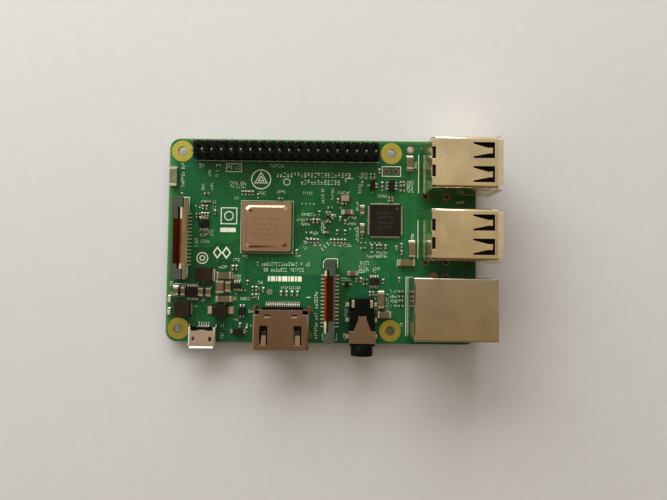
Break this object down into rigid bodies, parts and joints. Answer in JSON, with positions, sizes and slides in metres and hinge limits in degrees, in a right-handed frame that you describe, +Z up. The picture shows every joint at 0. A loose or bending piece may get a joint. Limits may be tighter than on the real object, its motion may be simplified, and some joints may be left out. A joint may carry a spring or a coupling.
{
  "type": "single board computer",
  "caption": "Credit-card sized green circuit board with a pin header, USB, network, video, power and audio sockets, flat cable connectors with latches, and a lidded processor.",
  "frame": {"origin": "centre of the four mounting holes, on the underside of the circuit board", "axes": "+X along the board towards the network and USB sockets, +Y across it towards the pin header, +Z up out of the component side"},
  "size_m": [0.0874, 0.0588, 0.0194],
  "materials": {
    "board": "green solder mask over glass laminate, semi-gloss",
    "black_plastic": "moulded, slightly grained",
    "pin_metal": "plated, bright",
    "contact_metal": "gold plated, bright",
    "tinned_metal": "tin plated, satin",
    "usb_metal": "rolled sheet, satin",
    "network_metal": "rolled sheet, bright",
    "video_metal": "rolled sheet, satin",
    "power_metal": "rolled sheet, satin",
    "audio_metal": "rolled sheet, satin",
    "card_metal": "rolled sheet, satin",
    "green_light": "clear moulded light guide, unlit",
    "amber_light": "clear moulded light guide, unlit",
    "package_laminate": "green chip laminate",
    "lid_metal": "nickel plated, matt",
    "chip_black": "moulded epoxy, matt",
    "antenna_ceramic": "fired ceramic, matt",
    "capacitor_ceramic": "fired ceramic, satin",
    "resistor_black": "glazed, satin",
    "ferrite": "pressed ferrite, matt",
    "light_white": "clear moulded, unlit",
    "crystal_ceramic": "fired ceramic, satin",
    "crystal_metal": "plated lid, satin",
    "ivory_plastic": "moulded, satin",
    "latch_grey": "moulded, satin",
    "amber_film": "thin polyimide film, glossy"
  },
  "bodies": {
    "board": {"circuit_board": "board", "pin_header_base": "black_plastic", "pin_header_pins": "pin_metal", "network_shield": "network_metal", "network_housing": "black_plastic", "network_light_green": "green_light", "network_light_amber": "amber_light", "network_magnetics": "black_plastic", "network_contacts": "contact_metal", "video_shell": "video_metal", "video_insulator": "black_plastic", "video_contacts": "tinned_metal", "power_shell": "power_metal", "power_insulator": "black_plastic", "power_contacts": "tinned_metal", "audio_body": "black_plastic", "audio_bracket": "audio_metal", "audio_contacts": "tinned_metal", "card_socket_cover": "card_metal", "card_socket_base": "black_plastic", "card_socket_contacts": "contact_metal", "processor_package": "package_laminate", "processor_lid": "lid_metal", "network_chip_body": "chip_black", "network_chip_pads": "tinned_metal", "memory_chip": "chip_black", "wireless_chip": "chip_black", "antenna_body": "antenna_ceramic", "antenna_pads": "tinned_metal", "large_capacitor_bodies": "capacitor_ceramic", "large_capacitor_ends": "tinned_metal", "chip_capacitor_bodies": "capacitor_ceramic", "chip_resistor_bodies": "resistor_black", "chip_end_caps": "tinned_metal", "small_chip_bodies": "chip_black", "small_chip_leads": "tinned_metal", "inductor_cores": "ferrite", "inductor_terminals": "tinned_metal", "power_diode_body": "chip_black", "power_diode_leads": "tinned_metal", "status_lights": "light_white", "status_light_ends": "tinned_metal", "crystal_cases": "crystal_ceramic", "crystal_lids": "crystal_metal", "usb_upper_shell": "usb_metal", "usb_upper_insulator": "black_plastic", "usb_lower_shell": "usb_metal", "usb_lower_insulator": "black_plastic", "usb_back_covers": "usb_metal", "usb_dividers": "usb_metal", "usb_tongues": "black_plastic", "usb_contacts": "contact_metal", "camera_socket_housing": "ivory_plastic", "camera_socket_contacts": "tinned_metal", "display_socket_housing": "ivory_plastic", "display_socket_contacts": "tinned_metal"},
    "camera_latch": {"camera_socket_latch": "latch_grey", "camera_socket_film": "amber_film"},
    "display_latch": {"display_socket_latch": "latch_grey", "display_socket_film": "amber_film"}
  },
  "joints": [
    {"name": "camera_latch_slide", "type": "slide", "parent": "board", "child": "camera_latch", "axis": [0, 0, 1], "range_m": [0, 0.0015]},
    {"name": "display_latch_slide", "type": "slide", "parent": "board", "child": "display_latch", "axis": [0, 0, 1], "range_m": [0, 0.0015]}
  ]
}
